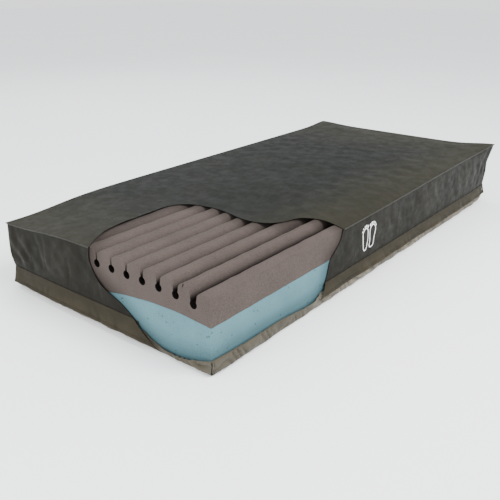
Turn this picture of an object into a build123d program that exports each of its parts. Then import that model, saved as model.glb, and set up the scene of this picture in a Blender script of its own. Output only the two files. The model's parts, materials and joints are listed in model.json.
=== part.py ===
from build123d import *
from math import asin, cos, degrees, radians, sin, sqrt
import os

os.makedirs("parts", exist_ok=True)

# A pressure relief mattress: a ridged foam topper on a base foam, in a zipped cover with storm flaps.
# The cover has a display window cut out of it at one bottom corner, which shows both foams.
# +X runs from the foot end to the head end, +Y from the near side to the far side, +Z up.
# The origin is the centre of the underside.  All sizes are in millimetres.

# ---- overall sizes ----
LENGTH = 1905.0
WIDTH = 889.0
HEIGHT = 250.0  # at the flat part of the top
EDGE_HEIGHT = 228.0  # at the near side, where the top slopes down
SLOPE_WIDTH = 210.0  # how far in from the near side the slope begins

# ---- cover ----
CLOTH = 1.5
FOAM_SIDE_GAP = 2.5  # from the cover's inner face to the foam, which leaves room for the zip
FOAM_TOP_GAP = 0.5
WELT_RADIUS = 2.0
WELT_CLEARANCE = 0.1

# ---- foams ----
BASE_HEIGHT = 124.0
CROWN_HEIGHT = 150.0  # of the base foam, under the start of the slope
CROWN_FROM = -40.0  # where the base foam's flat top ends, across the mattress
CROWN_EDGE_HEIGHT = 143.0  # of the base foam at the near side
RIDGES = 14
SLIT_WIDTH = 4.0
KEYHOLE_RADIUS = 10.0
KEYHOLE_DEPTH = 44.0  # from the top of the foam to the keyhole's centre
RIDGE_ROUNDING = 14.0
FAN_FROM = -100.0  # the slits open wider from here to the near side
FAN_WIDTH = 18.0  # how much wider the last slit's mouth is

# ---- zip ----
ZIP_BELOW_SEAM = 18.0  # from a flap's seam down to the middle of the zip
ZIP_GAP = 1.2  # between the two rows of teeth, which the slider's web runs in
TOOTH_HEIGHT = 2.6
CHAIN_THICKNESS = 2.8
TOOTH_BITE = 0.7  # how far the teeth reach in past the tape's outer face
TAPE_WIDTH = 10.0
TAPE_THICKNESS = 0.8
ZIP_MOUTH = 9.0  # from the zip's middle to each edge of the cover's cloth
SLIDER_LENGTH = 14.0
SLIDER_WIDTH = 9.0
SLIDER_PLATE = 1.1
SLIDER_CLEARANCE = 0.3
SLIDER_FROM_HEAD = 26.0  # from the head end to the middle of the closed slider
SLIDER_TRAVEL = 1300.0
POST_RADIUS = 1.5
POST_CAP_RADIUS = 2.4
POST_CAP = 0.7
TAB_LENGTH = 18.0
TAB_WIDTH = 6.4
TAB_THICKNESS = 1.2
TAB_CLEARANCE = 0.08
STOP_LENGTH = 4.0

# ---- storm flaps ----
FLAP_SEAM_HEIGHT = 75.0
FLAP_DROP = 40.0
FOOT_FLAP_DROP = 56.0
FLAP_STANDOFF = 13.0  # of a flap's lower edge
FLAP_THICKNESS = 1.2
FLAP_CLEARANCE = 0.4
FLAP_END_GAP = 1.0

# ---- printed mark of two soles, near the window ----
MARK_CENTRE = -150.0
MARK_HEIGHT = 148.0
MARK_SOLE_LENGTH = 80.0
MARK_SOLE_WIDTH = 38.0
MARK_SPACING = 58.0
MARK_LINE = 3.5
MARK_THICKNESS = 0.3
TOE_RADIUS = 3.6
TOE_GAP = 2.5

# ---- window ----
WINDOW_LENGTH = 634.0  # along the near side, at the top
WINDOW_REACH = 470.0  # across the foot end, at the top
WINDOW_SILL = 48.0  # the height of the cloth that is left at the near bottom corner

# ---- worked out ----
HALF_L = LENGTH / 2
HALF_W = WIDTH / 2
DROP = HEIGHT - EDGE_HEIGHT
TOP_RADIUS = (SLOPE_WIDTH**2 + DROP**2) / (2 * DROP)
SLOPE_START = SLOPE_WIDTH - HALF_W
ARC_CENTRE = HEIGHT - TOP_RADIUS
FOAM_HALF_L = HALF_L - CLOTH - FOAM_SIDE_GAP
FOAM_HALF_W = HALF_W - CLOTH - FOAM_SIDE_GAP
FOAM_TOP = CLOTH + FOAM_TOP_GAP
RIDGE_PITCH = WIDTH / RIDGES
ZIP_HEIGHT = FLAP_SEAM_HEIGHT - ZIP_BELOW_SEAM
UPPER_CLOTH_FROM = ZIP_HEIGHT + ZIP_MOUTH
LOWER_CLOTH_TO = ZIP_HEIGHT - ZIP_MOUTH
FAR_ABOVE = 2 * HEIGHT
OUTSIDE = 4 * FLAP_STANDOFF


def top_height(y, below=0.0):
    """The height of the top surface at y across the mattress, or of a surface that far below it."""
    if y >= SLOPE_START:
        return HEIGHT - below
    return ARC_CENTRE + sqrt((TOP_RADIUS - below) ** 2 - (y - SLOPE_START) ** 2)


def top_line(half_width, below):
    """Draws the top surface's section from the near side to the far side; it needs a BuildLine."""
    middle = (SLOPE_START - half_width) / 2
    ThreePointArc(
        (-half_width, top_height(-half_width, below)),
        (middle, top_height(middle, below)),
        (SLOPE_START, HEIGHT - below),
    )
    Line((SLOPE_START, HEIGHT - below), (half_width, HEIGHT - below))


def crown_line(half_width):
    """Draws the base foam's top section from the near side to the far side; it needs a BuildLine."""
    ThreePointArc(
        (-half_width, CROWN_EDGE_HEIGHT),
        ((CROWN_FROM - half_width) / 2, CROWN_HEIGHT),
        (CROWN_FROM, BASE_HEIGHT),
    )
    Line((CROWN_FROM, BASE_HEIGHT), (half_width, BASE_HEIGHT))


def finish(part, name):
    """Labels a finished part and writes its file."""
    part.label = name
    export_step(part, f"parts/{name}.step")


# ---- the window's cutters: one through the top, one through the near side, one through the foot end ----
foot, near = -HALF_L, -HALF_W
side_x = foot + WINDOW_LENGTH
end_y = near + WINDOW_REACH

with BuildPart() as window_top:
    with BuildSketch(Plane.XY.offset(EDGE_HEIGHT - 4 * WELT_RADIUS)):
        with BuildLine():
            edge = Spline(
                (foot, end_y),
                (foot + 0.12 * WINDOW_LENGTH, end_y + 0.10 * WINDOW_REACH),
                (foot + 0.28 * WINDOW_LENGTH, end_y + 0.155 * WINDOW_REACH),
                (foot + 0.50 * WINDOW_LENGTH, end_y + 0.17 * WINDOW_REACH),
                (foot + 0.66 * WINDOW_LENGTH, end_y + 0.155 * WINDOW_REACH),
                (foot + 0.745 * WINDOW_LENGTH, end_y),
                (foot + 0.74 * WINDOW_LENGTH, near + 0.71 * WINDOW_REACH),
                (foot + 0.72 * WINDOW_LENGTH, near + 0.49 * WINDOW_REACH),
                (foot + 0.79 * WINDOW_LENGTH, near + 0.35 * WINDOW_REACH),
                (foot + 0.93 * WINDOW_LENGTH, near + 0.28 * WINDOW_REACH),
                (side_x, near + 0.12 * WINDOW_REACH),
                (side_x, near),
            )
            Polyline(
                edge @ 1,
                (side_x, near - OUTSIDE),
                (foot - OUTSIDE, near - OUTSIDE),
                (foot - OUTSIDE, end_y),
                edge @ 0,
            )
        make_face()
    extrude(amount=FAR_ABOVE)

with BuildPart() as window_near:
    with BuildSketch(Plane.XZ.offset(HALF_W - FOAM_SIDE_GAP - CLOTH)):
        with BuildLine():
            edge = Spline(
                (side_x, EDGE_HEIGHT),
                (side_x - 0.02 * WINDOW_LENGTH, 0.84 * EDGE_HEIGHT),
                (side_x - 0.11 * WINDOW_LENGTH, 0.62 * EDGE_HEIGHT),
                (side_x - 0.135 * WINDOW_LENGTH, 0.42 * EDGE_HEIGHT),
                (side_x - 0.20 * WINDOW_LENGTH, 0.95 * WINDOW_SILL),
                (side_x - 0.42 * WINDOW_LENGTH, 0.78 * WINDOW_SILL),
                (side_x - 0.74 * WINDOW_LENGTH, 0.90 * WINDOW_SILL),
                (foot, WINDOW_SILL),
            )
            Polyline(
                edge @ 1,
                (foot - OUTSIDE, WINDOW_SILL),
                (foot - OUTSIDE, FAR_ABOVE),
                (side_x, FAR_ABOVE),
                edge @ 0,
            )
        make_face()
    extrude(amount=OUTSIDE)

with BuildPart() as window_foot:
    with BuildSketch(Plane.YZ.offset(-HALF_L + CLOTH + FOAM_SIDE_GAP)):
        with BuildLine():
            edge = Spline(
                (end_y, HEIGHT),
                (end_y + 0.01 * WINDOW_REACH, 0.82 * HEIGHT),
                (end_y - 0.09 * WINDOW_REACH, 0.57 * HEIGHT),
                (end_y - 0.26 * WINDOW_REACH, 0.42 * HEIGHT),
                (end_y - 0.41 * WINDOW_REACH, 0.25 * HEIGHT),
                (end_y - 0.58 * WINDOW_REACH, 0.50 * WINDOW_SILL),
                (end_y - 0.78 * WINDOW_REACH, 0.45 * WINDOW_SILL),
                (near, WINDOW_SILL),
            )
            Polyline(
                edge @ 1,
                (near - OUTSIDE, WINDOW_SILL),
                (near - OUTSIDE, FAR_ABOVE),
                (end_y, FAR_ABOVE),
                edge @ 0,
            )
        make_face()
    extrude(amount=-OUTSIDE)

# ---- foams ----
with BuildPart() as base_foam:
    with BuildSketch(Plane.YZ.offset(-FOAM_HALF_L)):
        with BuildLine():
            crown_line(FOAM_HALF_W)
            Polyline(
                (FOAM_HALF_W, BASE_HEIGHT),
                (FOAM_HALF_W, CLOTH),
                (-FOAM_HALF_W, CLOTH),
                (-FOAM_HALF_W, CROWN_EDGE_HEIGHT),
            )
        make_face()
    extrude(amount=2 * FOAM_HALF_L)
finish(base_foam.part, "base_foam")

with BuildPart() as ridged_topper:
    with BuildSketch(Plane.YZ.offset(-FOAM_HALF_L)) as section:
        with BuildLine():
            top_line(FOAM_HALF_W, FOAM_TOP)
            Line((FOAM_HALF_W, HEIGHT - FOAM_TOP), (FOAM_HALF_W, BASE_HEIGHT))
            crown_line(FOAM_HALF_W)
            Line((-FOAM_HALF_W, CROWN_EDGE_HEIGHT), (-FOAM_HALF_W, top_height(-FOAM_HALF_W, FOAM_TOP)))
        make_face()
        for ridge in range(1, RIDGES):
            y = ridge * RIDGE_PITCH - HALF_W
            fan = max(0.0, (FAN_FROM - y) / (FAN_FROM + HALF_W - RIDGE_PITCH)) * FAN_WIDTH
            mouth = top_height(y, FOAM_TOP)
            centre = mouth - KEYHOLE_DEPTH
            with BuildLine():
                Polyline(
                    (y - SLIT_WIDTH / 2, centre),
                    (y - (SLIT_WIDTH + fan) / 2, mouth + DROP),
                    (y + (SLIT_WIDTH + fan) / 2, mouth + DROP),
                    (y + SLIT_WIDTH / 2, centre),
                    close=True,
                )
            make_face(mode=Mode.SUBTRACT)
            with Locations((y, centre)):
                Circle(KEYHOLE_RADIUS, mode=Mode.SUBTRACT)
        mouths = section.vertices().filter_by(
            lambda v: abs(v.X) < FOAM_HALF_W - 1
            and v.Y > top_height(v.X, FOAM_TOP) - 1
            and abs(v.X - SLOPE_START) > 1
        )
        fillet(mouths, RIDGE_ROUNDING)
    extrude(amount=2 * FOAM_HALF_L)
finish(ridged_topper.part, "ridged_topper")

# ---- the cover's cloth ----
with BuildPart() as top_panel:
    with BuildSketch(Plane.YZ.offset(-HALF_L)):
        with BuildLine():
            top_line(HALF_W, 0)
            Line((HALF_W, HEIGHT), (HALF_W, HEIGHT - CLOTH))
            top_line(HALF_W, CLOTH)
            Line((-HALF_W, top_height(-HALF_W, CLOTH)), (-HALF_W, top_height(-HALF_W)))
        make_face()
    extrude(amount=LENGTH)
    add(window_top, mode=Mode.SUBTRACT)
finish(top_panel.part, "top_panel")

NEAR_PANEL_TOP = top_height(-HALF_W, CLOTH)
FAR_PANEL_TOP = HEIGHT - CLOTH

with BuildPart() as near_side_panel:
    with BuildSketch(Plane.XZ.offset(HALF_W)):
        with Locations((0, (UPPER_CLOTH_FROM + NEAR_PANEL_TOP) / 2)):
            Rectangle(LENGTH, NEAR_PANEL_TOP - UPPER_CLOTH_FROM)
    extrude(amount=-CLOTH)
    add(window_near, mode=Mode.SUBTRACT)
finish(near_side_panel.part, "near_side_panel")

with BuildPart() as far_side_panel:
    with BuildSketch(Plane.XZ.offset(-HALF_W)):
        with Locations((0, (UPPER_CLOTH_FROM + FAR_PANEL_TOP) / 2)):
            Rectangle(LENGTH, FAR_PANEL_TOP - UPPER_CLOTH_FROM)
    extrude(amount=CLOTH)
finish(far_side_panel.part, "far_side_panel")


def end_section():
    """Draws an end panel's outline, under the top panel and between the side panels; it needs a BuildLine."""
    inside = HALF_W - CLOTH
    top_line(inside, CLOTH)
    Polyline(
        (inside, HEIGHT - CLOTH),
        (inside, UPPER_CLOTH_FROM),
        (-inside, UPPER_CLOTH_FROM),
        (-inside, top_height(-inside, CLOTH)),
    )


with BuildPart() as foot_end_panel:
    with BuildSketch(Plane.YZ.offset(-HALF_L)):
        with BuildLine():
            end_section()
        make_face()
    extrude(amount=CLOTH)
    add(window_foot, mode=Mode.SUBTRACT)
finish(foot_end_panel.part, "foot_end_panel")

with BuildPart() as head_end_panel:
    with BuildSketch(Plane.YZ.offset(HALF_L)):
        with BuildLine():
            end_section()
        make_face()
    extrude(amount=-CLOTH)
finish(head_end_panel.part, "head_end_panel")

with BuildPart() as bottom_panel:
    with BuildSketch():
        Rectangle(LENGTH, WIDTH)
    extrude(amount=CLOTH)
finish(bottom_panel.part, "bottom_panel")

# Each lower wall stands on the bottom panel.  The side walls run the full length.
LOWER_WALL = LOWER_CLOTH_TO - CLOTH
lower_walls = {
    "near_lower_wall": (LENGTH, CLOTH, 0, (CLOTH - WIDTH) / 2, window_near),
    "far_lower_wall": (LENGTH, CLOTH, 0, (WIDTH - CLOTH) / 2, None),
    "foot_lower_wall": (CLOTH, WIDTH - 2 * CLOTH, (CLOTH - LENGTH) / 2, 0, window_foot),
    "head_lower_wall": (CLOTH, WIDTH - 2 * CLOTH, (LENGTH - CLOTH) / 2, 0, None),
}
for name, (long, wide, x, y, window) in lower_walls.items():
    with BuildPart() as lower_wall:
        with BuildSketch(Plane.XY.offset(CLOTH)):
            with Locations((x, y)):
                Rectangle(long, wide)
        extrude(amount=LOWER_WALL)
        if window:
            add(window, mode=Mode.SUBTRACT)
    finish(lower_wall.part, name)

# ---- the piping along the top edge: straight along the sides, following the section at the ends ----
WELT_OUT = WELT_RADIUS + WELT_CLEARANCE

with BuildPart() as top_edge_welt:
    for side, edge_z in ((-1, EDGE_HEIGHT), (1, HEIGHT)):
        with BuildSketch(Plane.YZ.offset(-HALF_L - WELT_OUT)):
            with Locations((side * (HALF_W + WELT_OUT), edge_z - WELT_RADIUS)):
                Circle(WELT_RADIUS)
        extrude(amount=LENGTH + 2 * WELT_OUT)
    for end in (-1, 1):
        reach = HALF_W + WELT_OUT
        under = 2 * WELT_RADIUS
        with BuildSketch(Plane.YZ.offset(end * (HALF_L + WELT_OUT) - WELT_RADIUS)):
            with BuildLine():
                top_line(reach, 0)
                Line((reach, HEIGHT), (reach, HEIGHT - under))
                top_line(reach, under)
                Line((-reach, top_height(-reach, under)), (-reach, top_height(-reach)))
            make_face()
        extrude(amount=2 * WELT_RADIUS)
    add(window_top, mode=Mode.SUBTRACT)
finish(top_edge_welt.part, "top_edge_welt")

# ---- the zip, which runs all round behind the flaps ----
TOOTH_FROM = ZIP_GAP / 2
TAPE_FROM = TOOTH_FROM + TOOTH_HEIGHT
CHAIN_IN = CLOTH + TOOTH_BITE
CHAIN_OUT = CHAIN_IN - CHAIN_THICKNESS

# Each strip is a hoop: how deep its two faces are behind the cover's face, and its lower edge and height.
zip_strips = {
    "zip_tape_lower": (CLOTH, CLOTH + TAPE_THICKNESS, ZIP_HEIGHT - TAPE_FROM - TAPE_WIDTH, TAPE_WIDTH),
    "zip_tape_upper": (CLOTH, CLOTH + TAPE_THICKNESS, ZIP_HEIGHT + TAPE_FROM, TAPE_WIDTH),
    "zip_teeth_lower": (CHAIN_OUT, CHAIN_IN, ZIP_HEIGHT - TAPE_FROM, TOOTH_HEIGHT),
    "zip_teeth_upper": (CHAIN_OUT, CHAIN_IN, ZIP_HEIGHT + TOOTH_FROM, TOOTH_HEIGHT),
}
for name, (outer, inner, low, tall) in zip_strips.items():
    with BuildPart() as strip:
        with BuildSketch(Plane.XY.offset(low)):
            Rectangle(LENGTH - 2 * outer, WIDTH - 2 * outer)
            Rectangle(LENGTH - 2 * inner, WIDTH - 2 * inner, mode=Mode.SUBTRACT)
        extrude(amount=tall)
        add(window_near, mode=Mode.SUBTRACT)
        add(window_foot, mode=Mode.SUBTRACT)
    finish(strip.part, name)

SLIDER_X = HALF_L - SLIDER_FROM_HEAD
OUTER_PLATE_FROM = -CHAIN_OUT + SLIDER_CLEARANCE
INNER_PLATE_FROM = CHAIN_IN + SLIDER_CLEARANCE
OUTER_PLATE_TO = OUTER_PLATE_FROM + SLIDER_PLATE
POST_TO = OUTER_PLATE_TO + TAB_THICKNESS + 2 * SLIDER_CLEARANCE

with BuildPart() as zip_slider:
    with BuildSketch(Plane.XZ.offset(HALF_W + OUTER_PLATE_FROM)):
        with Locations((SLIDER_X, ZIP_HEIGHT)):
            RectangleRounded(SLIDER_LENGTH, SLIDER_WIDTH, SLIDER_WIDTH / 4)
    extrude(amount=SLIDER_PLATE)
    with BuildSketch(Plane.XZ.offset(HALF_W - INNER_PLATE_FROM)):
        with Locations((SLIDER_X, ZIP_HEIGHT)):
            RectangleRounded(SLIDER_LENGTH, SLIDER_WIDTH, SLIDER_WIDTH / 4)
    extrude(amount=-SLIDER_PLATE)
    with BuildSketch(Plane.XZ.offset(HALF_W - INNER_PLATE_FROM)):
        with Locations((SLIDER_X, ZIP_HEIGHT)):
            Rectangle(SLIDER_LENGTH / 2, ZIP_GAP / 2)
    extrude(amount=INNER_PLATE_FROM + OUTER_PLATE_FROM)
    with BuildSketch(Plane.XZ.offset(HALF_W + OUTER_PLATE_TO)):
        with Locations((SLIDER_X, ZIP_HEIGHT)):
            Circle(POST_RADIUS)
    extrude(amount=POST_TO - OUTER_PLATE_TO)
    with BuildSketch(Plane.XZ.offset(HALF_W + POST_TO)):
        with Locations((SLIDER_X, ZIP_HEIGHT)):
            Circle(POST_CAP_RADIUS)
    extrude(amount=POST_CAP)
finish(zip_slider.part, "zip_slider")

with BuildPart() as zip_pull_tab:
    with BuildSketch(Plane.XZ.offset(HALF_W + OUTER_PLATE_TO + SLIDER_CLEARANCE)):
        with Locations((SLIDER_X, ZIP_HEIGHT - (TAB_LENGTH - TAB_WIDTH) / 2)):
            SlotOverall(TAB_LENGTH, TAB_WIDTH, rotation=90)
        with Locations((SLIDER_X, ZIP_HEIGHT)):
            Circle(POST_RADIUS + TAB_CLEARANCE, mode=Mode.SUBTRACT)
    extrude(amount=TAB_THICKNESS)
finish(zip_pull_tab.part, "zip_pull_tab")

stop_places = (
    SLIDER_X + SLIDER_LENGTH / 2 + SLIDER_CLEARANCE + STOP_LENGTH / 2,
    SLIDER_X - SLIDER_TRAVEL - SLIDER_LENGTH / 2 - SLIDER_CLEARANCE - STOP_LENGTH / 2,
)
with BuildPart() as zip_end_stops:
    with BuildSketch(Plane.XZ.offset(HALF_W - CHAIN_OUT)):
        with Locations(*[(x, ZIP_HEIGHT) for x in stop_places]):
            Rectangle(STOP_LENGTH, 2 * TAPE_FROM)
    extrude(amount=SLIDER_CLEARANCE + SLIDER_PLATE)
finish(zip_end_stops.part, "zip_end_stops")

# ---- storm flaps: each hangs from its seam, with its lower edge standing off the cover ----
HINGE_OUT = FLAP_CLEARANCE + FLAP_THICKNESS / 2
side_tilt = degrees(asin(FLAP_STANDOFF / FLAP_DROP))
foot_tilt = degrees(asin(FLAP_STANDOFF / FOOT_FLAP_DROP))
flaps = {
    "near_flap": (Plane.YZ, -HALF_W - HINGE_OUT, FLAP_DROP, -side_tilt, HALF_L, window_near),
    "far_flap": (Plane.YZ, HALF_W + HINGE_OUT, FLAP_DROP, side_tilt, HALF_L, None),
    "foot_flap": (Plane.XZ, -HALF_L - HINGE_OUT, FOOT_FLAP_DROP, -foot_tilt, HALF_W, window_foot),
    "head_flap": (Plane.XZ, HALF_L + HINGE_OUT, FLAP_DROP, side_tilt, HALF_W, None),
}
for name, (plane, out, drop, tilt, half_length, window) in flaps.items():
    with BuildPart() as flap:
        with BuildSketch(plane):
            with Locations((out, FLAP_SEAM_HEIGHT)):
                Rectangle(FLAP_THICKNESS, drop, rotation=tilt, align=(Align.CENTER, Align.MAX))
        extrude(amount=half_length - FLAP_END_GAP, both=True)
        if window:
            add(window, mode=Mode.SUBTRACT)
            add(flap.solids().sort_by(SortBy.VOLUME)[-1], mode=Mode.REPLACE)
    finish(flap.part, name)

# ---- the printed mark: two plain soles with toes, raised by the thickness of the print ----
HEEL_RADIUS = 0.36 * MARK_SOLE_WIDTH
BALL_RADIUS = 0.5 * MARK_SOLE_WIDTH
SOLE_TOP = MARK_HEIGHT + MARK_SOLE_LENGTH / 2
TOES = 5

with BuildPart() as foot_end_mark:
    with BuildSketch(Plane.XZ.offset(HALF_W)):
        for side in (-1, 1):
            x = MARK_CENTRE + side * MARK_SPACING / 2
            with BuildSketch(mode=Mode.PRIVATE) as sole:
                with Locations((x, SOLE_TOP - BALL_RADIUS)):
                    Circle(BALL_RADIUS)
                with Locations((x - side * 0.1 * MARK_SOLE_WIDTH, SOLE_TOP - MARK_SOLE_LENGTH + HEEL_RADIUS)):
                    Circle(HEEL_RADIUS)
                make_hull()
            add(sole.sketch)
            add(offset(sole.sketch, amount=-MARK_LINE, mode=Mode.PRIVATE), mode=Mode.SUBTRACT)
            for toe in range(TOES):
                lean = radians(18 + 36 * toe)
                reach = BALL_RADIUS + TOE_GAP + TOE_RADIUS
                along = side * reach * cos(lean)
                with Locations((x - along, SOLE_TOP - BALL_RADIUS + reach * sin(lean))):
                    Circle(TOE_RADIUS * (1.35 if toe == 0 else 1.0))
    extrude(amount=MARK_THICKNESS)
finish(foot_end_mark.part, "foot_end_mark")
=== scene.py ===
import json
import math

import bpy
import numpy as np
from bpy.props import FloatProperty, FloatVectorProperty, IntProperty, PointerProperty
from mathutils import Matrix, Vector


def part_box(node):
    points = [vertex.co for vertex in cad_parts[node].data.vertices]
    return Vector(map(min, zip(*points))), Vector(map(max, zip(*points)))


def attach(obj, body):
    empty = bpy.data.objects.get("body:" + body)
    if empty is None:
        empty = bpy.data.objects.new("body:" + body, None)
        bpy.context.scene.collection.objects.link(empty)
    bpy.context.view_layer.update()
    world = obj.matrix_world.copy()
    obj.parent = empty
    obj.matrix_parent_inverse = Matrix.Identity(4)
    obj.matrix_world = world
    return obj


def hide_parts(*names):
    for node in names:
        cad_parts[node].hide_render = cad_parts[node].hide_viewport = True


bl_info = {
    "name": "Pressure relief mattress",
    "version": (1, 0, 0),
    "blender": (4, 5, 0),
    "location": "3D View > Sidebar > Mattress",
    "description": "Foams, cut-away cover, storm flaps and zip of a pressure relief mattress",
    "category": "Add Mesh",
}

MM = 0.001
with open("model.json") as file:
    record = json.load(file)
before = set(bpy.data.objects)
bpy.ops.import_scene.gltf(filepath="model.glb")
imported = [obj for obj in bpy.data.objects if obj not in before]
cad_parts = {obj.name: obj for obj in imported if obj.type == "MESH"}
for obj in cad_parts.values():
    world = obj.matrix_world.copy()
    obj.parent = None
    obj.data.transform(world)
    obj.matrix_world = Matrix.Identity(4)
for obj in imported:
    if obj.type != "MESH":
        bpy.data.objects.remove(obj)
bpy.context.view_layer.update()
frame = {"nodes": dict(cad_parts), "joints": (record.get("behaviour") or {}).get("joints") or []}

# ---- places taken from the frame, in metres ----
TOP_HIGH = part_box("top_panel")[1]
HALF_L, HALF_W, HEIGHT = TOP_HIGH.x, TOP_HIGH.y, TOP_HIGH.z
NEAR_PANEL_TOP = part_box("near_side_panel")[1].z
UPPER_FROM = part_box("far_side_panel")[0].z
LOWER_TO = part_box("far_lower_wall")[1].z
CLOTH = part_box("bottom_panel")[1].z
FOAM_HALF_L, FOAM_HALF_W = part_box("base_foam")[1].x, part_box("base_foam")[1].y
TOPPER_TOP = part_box("ridged_topper")[1].z
HINGES = {j["child"]: j for j in frame["joints"]}
SEAM_Z = HINGES["near_flap"]["pos_m"][2]

# ---- sizes that the frame's boxes don't give, in metres ----
CROWN_FLAT, CROWN_MIDDLE, CROWN_EDGE, CROWN_FROM = 0.124, 0.150, 0.143, -0.040
FLAP_STANDOFF = 0.013
STITCH_PITCH = 0.0042
TOOTH_PITCH = 0.0030
HEM_HEIGHT, HEM_PROUD, HEM_SEAM = 0.009, 0.0013, 0.0078


# ======================= sizes and colours that a user would change =======================
class MattressShape(bpy.types.PropertyGroup):
    slope_width: FloatProperty(name="Slope width", description="How far in the top's slope begins",
                               default=0.210, unit="LENGTH")
    slope_drop: FloatProperty(name="Slope drop", description="How far the top falls to the near side",
                              default=0.022, unit="LENGTH")
    window_length: FloatProperty(name="Window length", description="The cut-out's length along the near side",
                                 default=0.634, unit="LENGTH")
    window_reach: FloatProperty(name="Window reach", description="The cut-out's reach across the foot end",
                                default=0.470, unit="LENGTH")
    window_sill: FloatProperty(name="Window sill", description="The cloth left at the near bottom corner",
                               default=0.048, unit="LENGTH")
    ridges: IntProperty(name="Ridges", description="Ridges across the topper", default=14)
    keyhole_radius: FloatProperty(name="Keyhole radius", description="Round end of each slit",
                                  default=0.0125, unit="LENGTH")
    keyhole_depth: FloatProperty(name="Keyhole depth", description="From the topper's top to the keyhole's centre",
                                 default=0.044, unit="LENGTH")
    slit: FloatProperty(name="Slit width", description="Width of a closed slit", default=0.005, unit="LENGTH")
    fan: FloatProperty(name="Fan", description="How much wider the last slit's mouth is",
                       default=0.018, unit="LENGTH")
    ridge_round: FloatProperty(name="Ridge rounding", description="Radius of a ridge's shoulders",
                               default=0.023, unit="LENGTH")
    ear: FloatProperty(name="Corner flare", description="How far the cover's top corners stand out",
                       default=0.016, unit="LENGTH")
    head_rise: FloatProperty(name="Head rise", description="How far the near edge stands up at the head end",
                             default=0.022, unit="LENGTH")
    slump: FloatProperty(name="Corner slump", description="How far the far foot corner hangs down",
                         default=0.026, unit="LENGTH")
    tuck: FloatProperty(name="Corner tuck", description="How far the cover's bottom corners pull in",
                        default=0.007, unit="LENGTH")
    fold_depth: FloatProperty(name="Fold depth", description="Depth of the soft folds in the side panels",
                              default=0.0075, unit="LENGTH")
    crinkle_depth: FloatProperty(name="Crinkle depth", description="Depth of the creases in the lower walls",
                                 default=0.009, unit="LENGTH")


class MattressColours(bpy.types.PropertyGroup):
    cover: FloatVectorProperty(name="Cover", description="Coated stretch cloth on top", subtype="COLOR",
                               default=(0.0048, 0.0058, 0.0050))
    # painted light: the paler, browner colour the cover takes towards its seams, where light catches it; also the
    # piping's colour and the specks' shade
    cover_lit_edge_and_piping: FloatVectorProperty(name="Cover edges", description="The same cloth towards the seams",
                                    subtype="COLOR", default=(0.0165, 0.0156, 0.0100))
    side: FloatVectorProperty(name="Side panels", description="Cloth of the upper sides", subtype="COLOR",
                              default=(0.0075, 0.0068, 0.0048))
    flap: FloatVectorProperty(name="Flaps", description="Storm flaps", subtype="COLOR",
                              default=(0.0225, 0.0190, 0.0122))
    base: FloatVectorProperty(name="Lower walls", description="Cloth of the cover's lower half",
                              subtype="COLOR", default=(0.105, 0.092, 0.070))
    topper: FloatVectorProperty(name="Topper foam", description="Ridged foam", subtype="COLOR",
                                default=(0.066, 0.0525, 0.047))
    blue: FloatVectorProperty(name="Base foam", description="Foam under the topper", subtype="COLOR",
                              default=(0.085, 0.165, 0.188))
    print_white: FloatVectorProperty(name="Print", description="The printed mark", subtype="COLOR",
                                     default=(0.78, 0.79, 0.79))


def shape():
    return bpy.context.scene.mattress_shape


def colours():
    return bpy.context.scene.mattress_colours


# ======================= the mattress's form =======================
def smooth(t):
    """0 to 1 with soft ends, on numbers or arrays."""
    t = np.clip(t, 0.0, 1.0)
    return t * t * (3 - 2 * t)


def top_height(y, below=0.0):
    """Height of the top surface at y, or of a surface that far below it; y may be an array."""
    s = shape()
    radius = (s.slope_width**2 + s.slope_drop**2) / (2 * s.slope_drop)
    into = np.maximum(s.slope_width - HALF_W - np.asarray(y, float), 0.0)
    return HEIGHT - radius + np.sqrt((radius - below) ** 2 - into**2)


def crown_height(y):
    """Height of the base foam's top: flat, then a low crown that falls to the near side."""
    t = np.clip((CROWN_FROM - np.asarray(y, float)) / (FOAM_HALF_W + CROWN_FROM), 0.0, 1.0)
    bulge = CROWN_MIDDLE - (CROWN_FLAT + CROWN_EDGE) / 2
    return CROWN_FLAT + (CROWN_EDGE - CROWN_FLAT) * t + bulge * 4 * t * (1 - t)


def ripple(a, b, seed, wave, lean=1.0, waves=6):
    """Smooth uneven waves over two coordinates, about -1 to 1; lean below 1 stretches them along b."""
    rng = np.random.default_rng(seed)
    total = np.zeros_like(np.asarray(a, float))
    for _ in range(waves):
        turn, size, shift = rng.uniform(-1, 1) * lean, rng.uniform(0.6, 1.7), rng.uniform(0, 2 * math.pi)
        total = total + np.sin(2 * math.pi * size / wave * (a + turn * b) + shift)
    return total / math.sqrt(2 * waves)


def on_circle(centre, radius, turns):
    """Points of a circle at these angles, as a list of pairs."""
    return [(centre[0] + radius * math.cos(t), centre[1] + radius * math.sin(t)) for t in turns]


def smooth_line(points, steps=10):
    """A smooth line through points, as a list of pairs: a natural cubic spline over the chord length."""
    p = np.array(points, float)
    t = np.concatenate([[0], np.cumsum(np.linalg.norm(np.diff(p, axis=0), axis=1))])
    n, h = len(p), np.diff(t)
    rows, right = np.eye(n), np.zeros_like(p)
    for i in range(1, n - 1):
        rows[i, i - 1 : i + 2] = h[i - 1], 2 * (h[i - 1] + h[i]), h[i]
        right[i] = 6 * ((p[i + 1] - p[i]) / h[i] - (p[i] - p[i - 1]) / h[i - 1])
    bend = np.linalg.solve(rows, right)
    out = []
    for i in range(n - 1):
        for k in range(steps):
            a, b = h[i] * (1 - k / steps), h[i] * k / steps
            out.append((bend[i] * a**3 + bend[i + 1] * b**3) / (6 * h[i])
                       + (p[i] / h[i] - bend[i] * h[i] / 6) * a + (p[i + 1] / h[i] - bend[i + 1] * h[i] / 6) * b)
    return [tuple(q) for q in out] + [tuple(p[-1])]


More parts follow.
